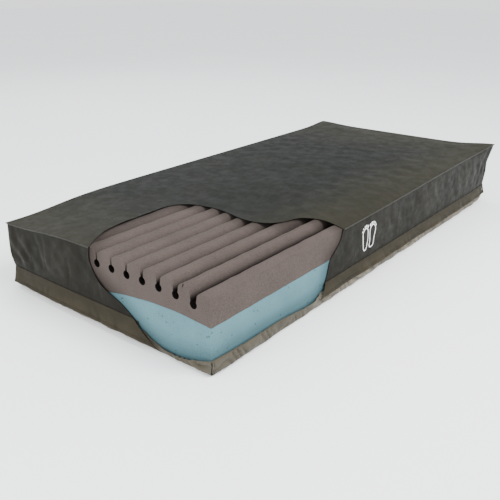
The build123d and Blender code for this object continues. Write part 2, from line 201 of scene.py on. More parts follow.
def tuck_and_roll(x, y, z):
    """How far the corners and the bottom edge pull in along x and y, and how strongly each point is at a corner."""
    s = shape()
    corner_reach, window_share = 0.075, 0.25
    roll_depth, roll_height, roll_reach = 0.0045, 0.020, 0.012
    dx, dy = HALF_L - np.abs(x), HALF_W - np.abs(y)
    h = z / top_height(np.clip(y, -HALF_W, HALF_W))
    at_window = (x < 0) & (y < 0)
    corner = np.exp(-(dx**2 + dy**2) / (2 * corner_reach**2)) * np.where(at_window, window_share, 1.0)
    pull = corner * s.tuck * smooth((0.62 - h) / 0.55)
    uneven = 1 + 0.55 * ripple(x + y, x - y, 8, 0.13, 0.3)
    rolled = roll_depth * uneven * np.clip(1 - z / roll_height, 0.0, 1.0) ** 2
    pull_x = pull + rolled * np.exp(-np.maximum(dx, 0) / roll_reach)
    pull_y = pull + rolled * np.exp(-np.maximum(dy, 0) / roll_reach)
    return pull_x, pull_y, corner, h


def settle(x, y, h):
    """How far points rise from the flat form: the near edge stands up at the head, a foot corner hangs down."""
    s = shape()
    slump_along, slump_across, rise_from, rise_over = 0.16, 0.14, -0.35, 1.2
    off = (x + HALF_L) ** 2 / (2 * slump_along**2) + (y - HALF_W) ** 2 / (2 * slump_across**2)
    slope = np.clip((s.slope_width - HALF_W - y) / s.slope_width, 0, 1) ** 2
    up = s.head_rise * slope * smooth((x - rise_from) / rise_over)
    return (up - s.slump * np.exp(-off)) * smooth(h)


def drape(p):
    """Moves points of the cover from its flat form to the way the cloth lies: flared top corners, tucked
    bottom corners, a rolled bottom edge and an uneven top.  p is an array of points and is returned anew."""
    x, y, z = p[:, 0].copy(), p[:, 1].copy(), p[:, 2].copy()
    pull_x, pull_y, corner, h = tuck_and_roll(x, y, z)
    s = shape()
    flare = corner * s.ear * smooth((h - 0.60) / 0.40) ** 1.6 * np.where((x < 0) & (y > 0), 0.1, 1.0)
    at_head = (x > 0) & (y < 0)
    rise = corner * np.where(at_head, 0.014, 0.004) * smooth((h - 0.6) / 0.4) + settle(x, y, h)
    dx, dy = HALF_L - np.abs(x), HALF_W - np.abs(y)
    inside = smooth(np.minimum(dx, dy) / 0.10) * smooth((h - 0.9) / 0.1)
    soft = 0.0016 * ripple(x, y, 3, 0.42) + 0.0007 * ripple(x, y, 4, 0.13) + 0.0012
    moved = x + np.sign(x) * (flare - pull_x), y + np.sign(y) * (flare - pull_y), z + rise + inside * soft
    return np.stack(moved, 1)


# ======================= making meshes =======================
def deselect():
    if bpy.context.object and bpy.context.object.mode != "OBJECT":
        bpy.ops.object.mode_set(mode="OBJECT")
    bpy.ops.object.select_all(action="DESELECT")


def focus(o):
    """Makes this the only selected and the active object."""
    deselect()
    bpy.context.view_layer.objects.active = o
    o.select_set(True)


def points_of(o):
    p = np.zeros(len(o.data.vertices) * 3)
    o.data.vertices.foreach_get("co", p)
    return p.reshape(-1, 3)


def move_points(o, p):
    o.data.vertices.foreach_set("co", np.ascontiguousarray(p, float).ravel())
    o.data.update()


def lay(o):
    """Moves a piece of the cover from its flat form to the way the cloth lies."""
    move_points(o, drape(points_of(o)))


def keep_values(o, name, values, domain="POINT"):
    """Keeps a number for each point or face, for the shading."""
    layer = o.data.attributes.new(name, "FLOAT", domain)
    layer.data.foreach_set("value", np.asarray(values, np.float32))


def apply_modifier(o, kind, **values):
    """Adds a modifier with these values and applies it."""
    focus(o)
    m = o.modifiers.new(kind.lower(), kind)
    for name, value in values.items():
        setattr(m, name, value)
    bpy.ops.object.modifier_apply(modifier=m.name)
    return o


def in_edit(o, *steps):
    """Runs edit mode steps on the whole of one mesh."""
    focus(o)
    bpy.context.tool_settings.mesh_select_mode = (True, False, False)
    bpy.ops.object.mode_set(mode="EDIT")
    bpy.ops.mesh.select_all(action="SELECT")
    for step in steps:
        step()
    bpy.ops.object.mode_set(mode="OBJECT")
    return o


def outward():
    """An edit mode step: turns the chosen faces outward."""
    bpy.ops.mesh.normals_make_consistent(inside=False)


def grid(name, across, along, place):
    """A grid of across by along faces, whose points place(u, v) puts, with u and v from 0 to 1."""
    deselect()
    bpy.ops.mesh.primitive_grid_add(x_subdivisions=across, y_subdivisions=along, size=1)
    o = bpy.context.object
    o.name = o.data.name = name
    p = points_of(o)
    move_points(o, np.stack(place(p[:, 0] + 0.5, p[:, 1] + 0.5), 1))
    return o


def link(name, data):
    """A new object in the scene for a mesh, a lamp or a camera."""
    o = bpy.data.objects.new(name, data)
    bpy.context.scene.collection.objects.link(o)
    return o


def from_points(name, points, edges=(), faces=()):
    mesh = bpy.data.meshes.new(name)
    mesh.from_pydata([tuple(p) for p in points], list(edges), list(faces))
    return link(name, mesh)


def prism(name, outline, place, through):
    """A closed block from a flat outline: place puts a pair in space, through is the vector to its far face."""
    o = from_points(name, [place(a, b) for a, b in outline], faces=[range(len(outline))])
    return in_edit(
        o,
        lambda: bpy.ops.mesh.extrude_region_move(TRANSFORM_OT_translate={"value": through}),
        lambda: bpy.ops.mesh.select_all(action="SELECT"),
        outward,
    )


def cut(o, cutter):
    apply_modifier(o, "BOOLEAN", operation="DIFFERENCE", object=cutter, solver="EXACT")
    return o


def remove(*objects):
    for o in objects:
        bpy.data.objects.remove(o, do_unlink=True)


def thicken(o, thickness=CLOTH):
    return apply_modifier(o, "SOLIDIFY", thickness=thickness, offset=-1.0, use_even_offset=False)


def shade(o, angle=40):
    focus(o)
    bpy.ops.object.shade_smooth_by_angle(angle=math.radians(angle))
    return o


def seat(o, body, node, material):
    """Puts the material on, and says what the piece rides on and stands for."""
    o.data.materials.clear()
    o.data.materials.append(material)
    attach(o, body)
    if node:
        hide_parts(*([node] if isinstance(node, str) else node))
    return o


# ======================= the window's cutters =======================
def window_lines():
    """The window's edge on the top, as (x, y), on the near side, as (x, z), and on the foot end, as (y, z)."""
    s = shape()
    foot, near = -HALF_L, -HALF_W
    long, reach, sill = s.window_length, s.window_reach, s.window_sill
    side_x, end_y, edge_z = foot + long, near + reach, HEIGHT - s.slope_drop
    top = smooth_line([
        (foot, end_y),
        (foot + 0.12 * long, end_y + 0.10 * reach),
        (foot + 0.28 * long, end_y + 0.155 * reach),
        (foot + 0.50 * long, end_y + 0.17 * reach),
        (foot + 0.66 * long, end_y + 0.155 * reach),
        (foot + 0.745 * long, end_y),
        (foot + 0.74 * long, near + 0.71 * reach),
        (foot + 0.72 * long, near + 0.49 * reach),
        (foot + 0.79 * long, near + 0.35 * reach),
        (foot + 0.93 * long, near + 0.28 * reach),
        (side_x, near + 0.12 * reach),
        (side_x, near),
    ])
    side = smooth_line([
        (side_x, edge_z),
        (side_x - 0.02 * long, 0.84 * edge_z),
        (side_x - 0.11 * long, 0.62 * edge_z),
        (side_x - 0.135 * long, 0.42 * edge_z),
        (side_x - 0.20 * long, 0.95 * sill),
        (side_x - 0.42 * long, 0.78 * sill),
        (side_x - 0.74 * long, 0.90 * sill),
        (foot, sill),
    ])
    end = smooth_line([
        (end_y, HEIGHT),
        (end_y + 0.01 * reach, 0.82 * HEIGHT),
        (end_y - 0.09 * reach, 0.57 * HEIGHT),
        (end_y - 0.26 * reach, 0.42 * HEIGHT),
        (end_y - 0.41 * reach, 0.25 * HEIGHT),
        (end_y - 0.58 * reach, 0.50 * sill),
        (end_y - 0.78 * reach, 0.45 * sill),
        (near, sill),
    ])
    return top, side, end


def window_cutters():
    """Blocks that cut the cover's top, near side and foot end along the window's edge."""
    top, side, end = window_lines()
    foot, near = -HALF_L, -HALF_W
    past, high = 0.08, 2 * HEIGHT
    top += [(top[-1][0], near - past), (foot - past, near - past), (foot - past, top[0][1])]
    side += [(foot - past, side[-1][1]), (foot - past, high), (side[0][0], high)]
    end += [(near - past, end[-1][1]), (near - past, high), (end[0][0], high)]
    inside = CLOTH + 2.5 * MM
    return {
        "top": prism("cutter_top", top, lambda a, b: (a, b, NEAR_PANEL_TOP - 0.006), (0, 0, high)),
        "near": prism("cutter_near", side, lambda a, b: (a, near + inside, b), (0, -past, 0)),
        "foot": prism("cutter_foot", end, lambda a, b: (foot + inside, a, b), (-past, 0, 0)),
    }


CUTTERS = {}


def cutter(name):
    if not CUTTERS:
        CUTTERS.update(window_cutters())
    return CUTTERS[name]


# ======================= materials =======================
class Finish:
    """One material's nodes: a base colour, a roughness and a bump, built up step by step."""

    def __init__(self, name, roughness, sheen=0.0, metallic=0.0, gloss=0.5):
        self.material = bpy.data.materials.new(name)
        self.material.use_nodes = True
        self.tree = self.material.node_tree
        self.shader = self.tree.nodes["Principled BSDF"]
        self.feed(self.shader, Roughness=roughness, Metallic=metallic, Sheen_Weight=sheen, Sheen_Roughness=0.45,
                  Specular_IOR_Level=gloss)
        self.place = self.node("ShaderNodeTexCoord").outputs["Object"]
        self.bump_from = None

    def node(self, kind, **values):
        n = self.tree.nodes.new(kind)
        for name, value in values.items():
            setattr(n, name, value)
        return n

    def plug(self, socket, value):
        """Links another node's output to a socket, or sets the socket to a constant."""
        if isinstance(value, bpy.types.NodeSocket):
            self.tree.links.new(value, socket)
        elif socket.type == "RGBA":
            socket.default_value = (*tuple(value)[:3], 1.0)
        else:
            socket.default_value = value

    def feed(self, n, **inputs):
        """Links or sets a node's inputs, named with _ for a space."""
        for name, value in inputs.items():
            self.plug(n.inputs[name.replace("_", " ")], value)
        return n

    def stretched(self, scale):
        return self.feed(self.node("ShaderNodeMapping"), Vector=self.place, Scale=scale).outputs[0]

    def grain(self, scale, detail=4.0, rough=0.6, stretch=None):
        """Fractal noise from 0 to 1 at so many features in a metre."""
        where = self.stretched(stretch) if stretch else self.place
        n = self.feed(self.node("ShaderNodeTexNoise"), Vector=where, Scale=scale, Detail=detail, Roughness=rough)
        return n.outputs["Fac"]

    def cells(self, scale):
        """Distance to the nearest of scattered points, for pores."""
        return self.feed(self.node("ShaderNodeTexVoronoi"), Vector=self.place, Scale=scale).outputs["Distance"]

    def between(self, value, low, high, to_low=0.0, to_high=1.0):
        n = self.node("ShaderNodeMapRange", interpolation_type="SMOOTHSTEP")
        return self.feed(n, Value=value, From_Min=low, From_Max=high, To_Min=to_low, To_Max=to_high).outputs[0]

    def patches(self, scale, detail, low=0.3, high=0.7, to_low=0.0, to_high=1.0):
        """Noise whose low to high is spread over a range."""
        return self.between(self.grain(scale, detail), low, high, to_low, to_high)

    def math(self, operation, a, b=0.0):
        n = self.node("ShaderNodeMath", operation=operation)
        for socket, value in zip(n.inputs, (a, b)):
            self.plug(socket, value)
        return n.outputs[0]

    def axis(self, letter):
        return self.feed(self.node("ShaderNodeSeparateXYZ"), Vector=self.place).outputs[letter]

    def attribute(self, name):
        return self.node("ShaderNodeAttribute", attribute_name=name).outputs["Fac"]

    def mix(self, factor, a, b):
        n = self.node("ShaderNodeMix", data_type="RGBA")
        for socket, value in ((n.inputs[0], factor), (n.inputs[6], a), (n.inputs[7], b)):
            self.plug(socket, value)
        return n.outputs[2]

    def paint(self, colour):
        self.plug(self.shader.inputs["Base Color"], colour)
        return self

    def fleck(self, colour, dark, light, scale, detail, low=0.3, high=0.7):
        """Paints patches of a darker and a lighter shade of one colour."""
        return self.paint(self.mix(self.patches(scale, detail, low, high), *shades(colour, dark, light)))

    def speckle(self, base, colour, light, scale, most):
        """Paints base with fine specks of a lighter shade of colour."""
        speck = self.patches(scale, 2, 0.35, 0.65, 0.0, most)
        return self.paint(self.mix(speck, base, shades(colour, 1.0, light)[1]))

    def rough(self, value, low, high):
        self.tree.links.new(self.between(value, 0.3, 0.7, low, high), self.shader.inputs["Roughness"])
        return self

    def bump(self, height, depth, strength=1.0):
        n = self.feed(self.node("ShaderNodeBump"), Height=height, Distance=depth, Strength=strength)
        if self.bump_from:
            self.tree.links.new(self.bump_from, n.inputs["Normal"])
        self.bump_from = n.outputs[0]
        self.tree.links.new(self.bump_from, self.shader.inputs["Normal"])
        return self


def shades(colour, dark, light):
    return [c * dark for c in colour[:3]], [min(1.0, c * light) for c in colour[:3]]


def weave(f, pitch, depth):
    """A plain weave as crossed waves at this pitch in metres."""
    for letter in ("X", "Y", "Z"):
        wave = f.math("SINE", f.math("MULTIPLY", f.axis(letter), 2 * math.pi / pitch))
        f.bump(wave, depth, 0.35)
    return f


def cover_cloth(name):
    """Coated stretch cloth: dark grey-green, with painted light that makes it browner and lighter towards the
    seams, faintly mottled.
    """
    c, f = colours(), Finish(name, 0.60, gloss=0.05)
    ragged = f.patches(16, 3, 0.3, 0.7, -0.05, 0.05)
    # painted light: a paler, browner band towards the ends and the near side stands in for light catching the cloth
    # by its seams
    ends = f.between(f.math("ABSOLUTE", f.math("ADD", f.axis("X"), ragged)), 0.45, HALF_L)
    near = f.between(f.math("ADD", f.axis("Y"), ragged), -0.10, -HALF_W)
    painted_edge_light = f.math("MAXIMUM", f.math("MULTIPLY", ends, 0.8), near)
    edge_light_and_mottle = f.math("ADD", painted_edge_light, f.patches(5, 2, 0.3, 0.7, -0.08, 0.08))
    f.speckle(f.mix(edge_light_and_mottle, c.cover, c.cover_lit_edge_and_piping), c.cover_lit_edge_and_piping, 1.5, 900, 0.16)
    f.rough(f.grain(30, 4), 0.50, 0.62).bump(f.grain(7, 2), 0.0010, 0.3).bump(f.grain(60, 4), 0.0001, 0.5)
    return weave(f, 0.0016, 0.00005).material


def side_cloth(name, colour, lift, wrinkle=0.0015):
    """The same cloth on an upright panel, with painted light and shade: paler where a fold stands out, darker where
    it sinks in.
    """
    f = Finish(name, 0.60, gloss=0.06)
    dark, light = shades(colour, 0.78, lift)
    # painted light and shade on the folds: the crease attribute makes standing folds paler and hollows darker
    folds = f.between(f.attribute("crease"), -0.6, 0.9)
    tone = f.math("ADD", f.math("MULTIPLY", folds, 0.75), f.patches(18, 4, 0.3, 0.7, 0.0, 0.25))
    f.speckle(f.mix(tone, dark, light), colour, lift * 1.2, 1000, 0.18)
    f.rough(f.grain(40, 4), 0.44, 0.6).bump(f.grain(26, 4, stretch=(1, 1, 0.5)), wrinkle, 0.7)
    return weave(f, 0.0014, 0.00006).material


def foam(name, colour, grain_depth, pores, pore_size, cells=420):
    """Open-cell foam: grainy, with darker pores scattered over it, and painted shade under the cover's cut edge and
    deep in the slits.
    """
    f = Finish(name, 0.96, gloss=0.08)
    dark, light = shades(colour, 0.80, 1.18)
    fine = f.between(f.grain(cells, 3, 0.7), 0.32, 0.68)
    broad = f.patches(9, 3, 0.3, 0.7, -0.15, 0.15)
    colour_now = f.mix(f.math("ADD", fine, broad), dark, light)
    pore = f.between(f.cells(pores), pore_size, pore_size * 0.55)
    big = f.math("MULTIPLY", pore, f.patches(pores * 0.45, 1, 0.56, 0.60))
    pored = f.mix(f.math("MULTIPLY", big, 0.65), colour_now, shades(colour, 0.35, 1)[0])
    # painted shade: darker under the cover's cut edge and deep inside the slits and keyholes
    shadow = f.math("MAXIMUM", f.math("MULTIPLY", f.attribute("under"), 0.50), f.attribute("deep"))
    f.paint(f.mix(shadow, pored, shades(colour, 0.06, 1)[0]))
    return f.bump(f.grain(cells, 3, 0.7), grain_depth).bump(f.math("MULTIPLY", big, -1), 0.0012, 0.8).material


def webbing(name, colour, rough=0.8):
    """Ribbed tape, piping or thread."""
    f = Finish(name, rough, sheen=0.05, gloss=0.2).fleck(colour, 0.7, 1.3, 500, 2, 0.35, 0.65)
    return weave(f, 0.0011, 0.0001).bump(f.grain(260, 3), 0.0002, 0.5).material


def metal(name, colour=(0.33, 0.33, 0.32)):
    """Satin plated zinc with fine scratches, duller in patches."""
    f = Finish(name, 0.34, metallic=1.0).fleck(colour, 0.75, 1.2, 120, 4)
    return f.rough(f.grain(700, 4, stretch=(1, 1, 0.08)), 0.26, 0.46).bump(f.grain(900, 2), 0.00003, 0.4).material


def moulded(name, colour):
    """Moulded nylon, slightly worn."""
    f = Finish(name, 0.42).fleck(colour, 0.7, 1.5, 300, 3)
    return f.rough(f.grain(200, 3), 0.35, 0.55).bump(f.grain(800, 2), 0.00004, 0.5).material


def ink(name, colour):
    """Screen-printed ink, a little thin where the weave shows through."""
    f = Finish(name, 0.6).fleck(colour, 0.80, 1.1, 700, 3, 0.30, 0.55)
    return weave(f, 0.0014, 0.00005).material


MADE = {}


def finish_named(name, make, *values):
    """A material, made the first time that it is asked for."""
    if name not in MADE:
        MADE[name] = make(name, *values)
    return MADE[name]


# ======================= operators =======================
class MakePiece(bpy.types.Operator):
    """Base for the mattress's operators"""
    bl_idname = "mattress.piece"
    bl_label = "Piece"
    bl_options = {"REGISTER", "UNDO"}

    def execute(self, context):
        self.make(shape())
        deselect()
        return {"FINISHED"}


class MakeBaseFoam(MakePiece):
    """Base foam: a block with a low crown, its hidden corners eased"""
    bl_idname = "mattress.base_foam"
    bl_label = "Base foam"

    def make(self, s):
        across = np.linspace(-FOAM_HALF_W, FOAM_HALF_W, 64)
        low = CLOTH + 0.0002
        outline = [(y, float(crown_height(y))) for y in across]
        outline += upright(FOAM_HALF_W, outline[-1][1], low)[1:]
        outline += upright(-FOAM_HALF_W, low, outline[0][1])[:-1]
        o = foam_block("base_foam_block", outline, 72)
        apply_modifier(o, "BEVEL", width=0.0022, segments=2, limit_method="ANGLE", angle_limit=math.radians(60))
        ease_foam(o, seed=21)
        shade(o, 50)
        blue = finish_named("blue_base_foam", foam, colours().blue, 0.0005, 60, 0.22, 520)
        seat(o, "mattress", "base_foam", blue)


class MakeTopper(MakePiece):
    """Ridged topper: one block, slit lengthwise, each slit ending in a round keyhole"""
    bl_idname = "mattress.topper"
    bl_label = "Ridged topper"

    def make(self, s):
        o = foam_block("ridged_topper_foam", topper_outline(s), 60)
        note_slits(o)
        ease_foam(o, seed=22)
        shade(o, 40)
        brown = finish_named("brown_topper_foam", foam, colours().topper, 0.0007, 210, 0.24, 330)
        seat(o, "mattress", "ridged_topper", brown)


def foam_block(name, outline, spans):
    """A block with this (y, z) outline, running the foams' whole length in so many spans."""
    count = len(outline)
    start = from_points(name, [(-FOAM_HALF_L, y, z) for y, z in outline],
                        edges=[(i, (i + 1) % count) for i in range(count)])
    step = (2 * FOAM_HALF_L / spans, 0, 0)
    pull = lambda: bpy.ops.mesh.extrude_region_move(TRANSFORM_OT_translate={"value": step})
    in_edit(start, *[pull] * spans)
    in_edit(
        start,
        lambda: bpy.ops.mesh.fill_holes(sides=0),
        outward,
    )
    return divide_ends(start, 0.020)


def divide_ends(o, step):
    """Cuts the two end faces into small ones, so that they can be shaped and shaded like the rest."""
    low, high = points_of(o).min(0), points_of(o).max(0)
    cuts = [((0, y, 0), (0, 1, 0)) for y in np.arange(low[1] + step, high[1] - step / 2, step)]
    cuts += [((0, 0, z), (0, 0, 1)) for z in np.arange(low[2] + step, high[2] - step / 2, step)]
    ends = (round(float(low[0]), 4), round(float(high[0]), 4))
    for place, way in cuts:
        focus(o)
        for f in o.data.polygons:
            f.select = abs(f.normal.x) > 0.9 and round(f.center.x, 4) in ends
        for part in (*o.data.edges, *o.data.vertices):
            part.select = False
        bpy.context.tool_settings.mesh_select_mode = (False, False, True)
        bpy.ops.object.mode_set(mode="EDIT")
        bpy.ops.mesh.bisect(plane_co=place, plane_no=way)
        bpy.ops.object.mode_set(mode="OBJECT")
    return o


def topper_outline(s):
    """The topper's section: top from the near side to the far side with its keyholes, then back along the base."""
    pitch = 2 * HALF_W / s.ridges
    gap = HEIGHT - TOPPER_TOP
    line = [(-FOAM_HALF_W, float(top_height(-FOAM_HALF_W, gap)))]
    fan_from = -0.100
    for k in range(1, s.ridges):
        y = k * pitch - HALF_W
        fan = max(0.0, (fan_from - y) / (fan_from + HALF_W - pitch)) * s.fan
        mouth = float(top_height(y, gap))
        centre = mouth - s.keyhole_depth
        wide = s.slit / 2 + fan / 2
        neck = s.slit / 2 + 0.40 * fan
        low = centre + math.sqrt(s.keyhole_radius**2 - neck**2)
        line += shoulder(y - wide, y - neck, low, s.ridge_round, gap, -1)
        ring = math.asin(neck / s.keyhole_radius)
        turns = np.linspace(math.pi / 2 + ring, 2.5 * math.pi - ring, 22)[1:-1]
        line += on_circle((y, centre), s.keyhole_radius, turns)
        line += shoulder(y + wide, y + neck, low, s.ridge_round, gap, 1)
    line += upright(FOAM_HALF_W, TOPPER_TOP, float(crown_height(FOAM_HALF_W)))
    back = np.linspace(FOAM_HALF_W, -FOAM_HALF_W, 64)[1:-1]
    line += [(y, float(crown_height(y))) for y in back]
    return line + upright(-FOAM_HALF_W, float(crown_height(-FOAM_HALF_W)), line[0][1])[:-1]


def upright(y, low, high, steps=5):
    """Points up or down one upright side of a foam's outline."""
    return [(y, z) for z in np.linspace(low, high, steps + 1)]


def shoulder(mouth_y, slit_y, low, radius, gap, side):
    """A ridge's rounded shoulder and the slit's wall under it, in order along the outline."""
    turns = np.linspace(0, math.pi / 2, 9)
    arc = []
    for t in turns:
        y = mouth_y + side * radius * (1 - math.sin(t))
        arc.append((y, float(top_height(y, gap)) - radius * (1 - math.cos(t))))
    end = np.array(arc[-1])
    arc += [tuple(end + (np.array((slit_y, low)) - end) * t) for t in np.linspace(0.2, 1, 5)]
    return arc if side < 0 else arc[::-1]


def ease_foam(o, seed):
    """Makes cut foam slightly uneven, and presses it in where the cover's corners and bottom edge pull in."""
    p = points_of(o)
    x, y, z = p[:, 0], p[:, 1], p[:, 2]
    pull_x, pull_y, _, h = tuck_and_roll(x, y, z)
    dy = FOAM_HALF_W - np.abs(y)
    uneven = 0.0006 * ripple(x, y + z, seed, 0.09) * (dy > 0.004)
    uneven_up = 0.0009 * ripple(x, y, seed + 1, 0.12) - 0.0009
    px = x - np.sign(x) * 1.15 * pull_x
    py = y - np.sign(y) * 1.15 * pull_y + uneven
    note_window(o, p)
    move_points(o, np.stack([px, py, z + uneven_up * (z > 0.02) + settle(x, y, h)], 1))


def far_from(points, line):
    """How far each 2D point lies from an open line of points."""
    best = np.full(len(points), np.inf)
    for a, b in zip(line[:-1], line[1:]):
        a, b = np.array(a), np.array(b)
        t = np.clip((points - a) @ (b - a) / max((b - a) @ (b - a), 1e-12), 0, 1)
        best = np.minimum(best, np.linalg.norm(points - (a + t[:, None] * (b - a)), axis=1))
    return best


def note_window(o, p):
    """Keeps, for each point of a foam, how much it lies in the shade under the cover's cut edge."""
    top, side, end = window_lines()
    shade_width = 0.075
    under = np.zeros(len(p))
    faces = (
        (np.abs(p[:, 2] - top_height(p[:, 1])) < 0.035, p[:, :2], top),
        (p[:, 1] < -FOAM_HALF_W + 0.01, p[:, [0, 2]], side),
        (p[:, 0] < -FOAM_HALF_L + 0.01, p[:, 1:], end),
    )
    for on_face, flat, line in faces:
        near = np.where(on_face, smooth(1 - far_from(flat, line) / shade_width), 0)
        under = np.maximum(under, near**1.5)
    keep_values(o, "under", under)


def note_slits(o):
    """Keeps how deep in a slit or keyhole each face lies, for the foam's painted shade deep in the slits and
    keyholes.
    """
    s = shape()
    pitch = 2 * HALF_W / s.ridges
    values = []
    for f in o.data.polygons:
        y, z = f.center.y, f.center.z
        off = abs((y + HALF_W) % pitch - pitch / 2)
        in_slit = abs(f.normal.x) < 0.5 and off > pitch / 2 - s.keyhole_radius * 1.15
        depth = float(top_height(y)) - z
        inside = in_slit and depth < 0.075 and abs(y) < HALF_W - pitch / 2
        values.append(float(smooth((depth - 0.018) / 0.020)) if inside else 0.0)
    keep_values(o, "deep", values, "FACE")


# ======================= the cover =======================
class Side:
    """One upright side of the cover: along runs its length, and out points away from the foams."""

    def __init__(self, name, corner, along, length):
        self.name, self.length = name, length
        self.corner, self.along = np.array((*corner, 0.0)), np.array((*along, 0.0))
        self.out = np.array((along[1], -along[0], 0.0))
        self.long = name in ("near", "far")
        self.has_window = name in ("near", "foot")

    def at(self, run, z, proud=0.0):
        """Points this far along the side, at these heights, standing this far out."""
        run, z, proud = np.broadcast_arrays(np.asarray(run, float), z, proud)
        p = self.corner + run[:, None] * self.along + proud[:, None] * self.out
        p[:, 2] = z
        return p

    def run_of(self, p):
        return (p - self.corner) @ self.along

    def roof(self, p):
        """The height of the top seam over each point."""
        if self.long:
            return np.full(len(p), float(top_height(-HALF_W if self.name == "near" else HALF_W)) - CLOTH)
        return top_height(np.clip(p[:, 1], -HALF_W, HALF_W)) - CLOTH


SIDES = {
    "near": Side("near", (-HALF_L, -HALF_W), (1, 0), 2 * HALF_L),
    "head": Side("head", (HALF_L, -HALF_W), (0, 1), 2 * HALF_W),
    "far": Side("far", (HALF_L, HALF_W), (-1, 0), 2 * HALF_L),
    "foot": Side("foot", (-HALF_L, HALF_W), (0, -1), 2 * HALF_W),
}
SEEDS = {"near": 31, "head": 41, "far": 51, "foot": 61}


def upper_folds(side, p):
    """How far each point of an upper panel stands out: soft folds that die away at its seams."""
    s, run, z = shape(), side.run_of(p), p[:, 2]
    up = np.clip((z - SEAM_Z) / (side.roof(p) - SEAM_Z), 0, 1)
    belly = np.sin(math.pi * up)
    wave = ripple(run - 0.55 * z, z, SEEDS[side.name], 0.36, 0.35)
    fine = ripple(run + 0.8 * z, z, SEEDS[side.name] + 1, 0.11, 0.9)
    ends = np.exp(-np.minimum(run, side.length - run) / 0.12)
    corner_fold = ripple(run, z, SEEDS[side.name] + 2, 0.06, 0.6) * ends
    upright = 0.3 if side.long else pleats(run, z, SEEDS[side.name] + 11, 0.095, 0.45)
    return belly * s.fold_depth * (0.05 + 0.5 * wave + 0.26 * fine + 0.5 * corner_fold + 0.7 * upright)


def pleats(run, z, seed, wave, lean):
    """Uneven sharp-backed pleats that lean along the side, from 0 to 1."""
    slow = ripple(run, z, seed, 0.55, 0.2)
    turn = (run + lean * z) / wave + 0.9 * ripple(run, z, seed + 1, 0.22, 0.8)
    return np.abs(np.sin(math.pi * turn)) ** 0.7 * np.clip(0.62 + 0.5 * slow, 0.15, 1.0)


def lower_creases(side, p):
    """How far each point of a lower wall stands out: slack leaning pleats, flat where it is sewn."""
    s, run, z = shape(), side.run_of(p), p[:, 2]
    held = smooth(z / 0.014 + 0.25) * smooth((LOWER_TO - z) / 0.014 + 0.15)
    broad = ripple(run, z, SEEDS[side.name] + 3, 0.12, 1.2)
    lean = 1.1 if side.name in ("near", "foot") else -1.1
    sharp = pleats(run, z, SEEDS[side.name] + 4, 0.045, lean)
    fine = ripple(run, z, SEEDS[side.name] + 9, 0.018, 1.0)
    return held * s.crinkle_depth * (0.05 + 0.20 * broad + 0.85 * sharp + 0.10 * fine)


def stand_out(side, p, folds):
    """Moves points out by a fold function, never so far in that they meet the foam, then drapes them."""
    proud = np.maximum(folds(side, p), -0.0012)
    return drape(p + proud[:, None] * side.out), proud


def note_creases(o, proud):
    """Keeps how far each point stands out, from -1 to 1, for the cloth's painted light and shade on its folds."""
    spread = max(float(np.std(proud)) * 2, 1e-5)
    keep_values(o, "crease", np.clip((proud - float(np.mean(proud))) / spread, -1, 1))


def upright_panel(name, side, low, high, columns, rows, folds):
    """A panel of cloth on one side, from a low height to a high one, which may be a function of the points."""
    def place(u, v):
        p = side.at(u * side.length, np.zeros_like(u))
        top = high(p) if callable(high) else high
        return (*p[:, :2].T, low + v * (top - low))

    o = thicken(grid(name, columns, rows, place))
    if side.has_window:
        cut(o, cutter(side.name))
    tall = (float(high(side.at([side.length * 0.75], 0.0))[0]) if callable(high) else high) - low
    p, proud = stand_out(side, points_of(o), folds)
    move_points(o, p)
    note_creases(o, proud)
    return shade(o, 50)


class MakeTopPanel(MakePiece):
    """Top panel: one sheet over the foams, cut away at the near foot corner"""
    bl_idname = "mattress.top_panel"
    bl_label = "Top panel"

    def make(self, s):
        place = lambda u, v: (
            HALF_L * (2 * u - 1),
            HALF_W * (2 * v - 1),
            top_height(HALF_W * (2 * v - 1)),
        )
        o = cut(thicken(grid("cover_top", 190, 90, place)), cutter("top"))
        lay(o)
        seat(o, "mattress", "top_panel", finish_named("cover_cloth", cover_cloth))
        shade(o, 40)


class MakeSidePanels(MakePiece):
    """Upper side and end panels, from the zip up to the piping"""
    bl_idname = "mattress.side_panels"
    bl_label = "Side panels"

    def make(self, s):
        colour = colours().side
        cloth = finish_named("side_panel_cloth", side_cloth, colour, 1.5)
        for key in ("near", "far", "foot", "head"):
            side = SIDES[key]
            kind, columns = ("side", 300) if side.long else ("end", 150)
            o = upright_panel(f"cover_{key}", side, UPPER_FROM, side.roof, columns, 22, upper_folds)
            seat(o, "mattress", f"{key}_{kind}_panel", cloth)


class MakeLowerCover(MakePiece):
    """The cover's lower half: the creased walls under the zip and the bottom panel"""
    bl_idname = "mattress.lower_cover"
    bl_label = "Lower cover"

    def make(self, s):
        cloth = finish_named("lower_cover_cloth", lower_cloth, colours().base)
        for key, side in SIDES.items():
            columns = 420 if side.long else 200
            o = upright_panel(f"lower_{key}", side, CLOTH, LOWER_TO, columns, 14, lower_creases)
            seat(o, "mattress", f"{key}_lower_wall", cloth)
        place = lambda u, v: (HALF_L * (1 - 2 * u), HALF_W * (2 * v - 1), np.zeros_like(u))
        o = thicken(grid("cover_bottom", 120, 60, place))
        lay(o)
        seat(o, "mattress", "bottom_panel", cloth)
        shade(o, 40)


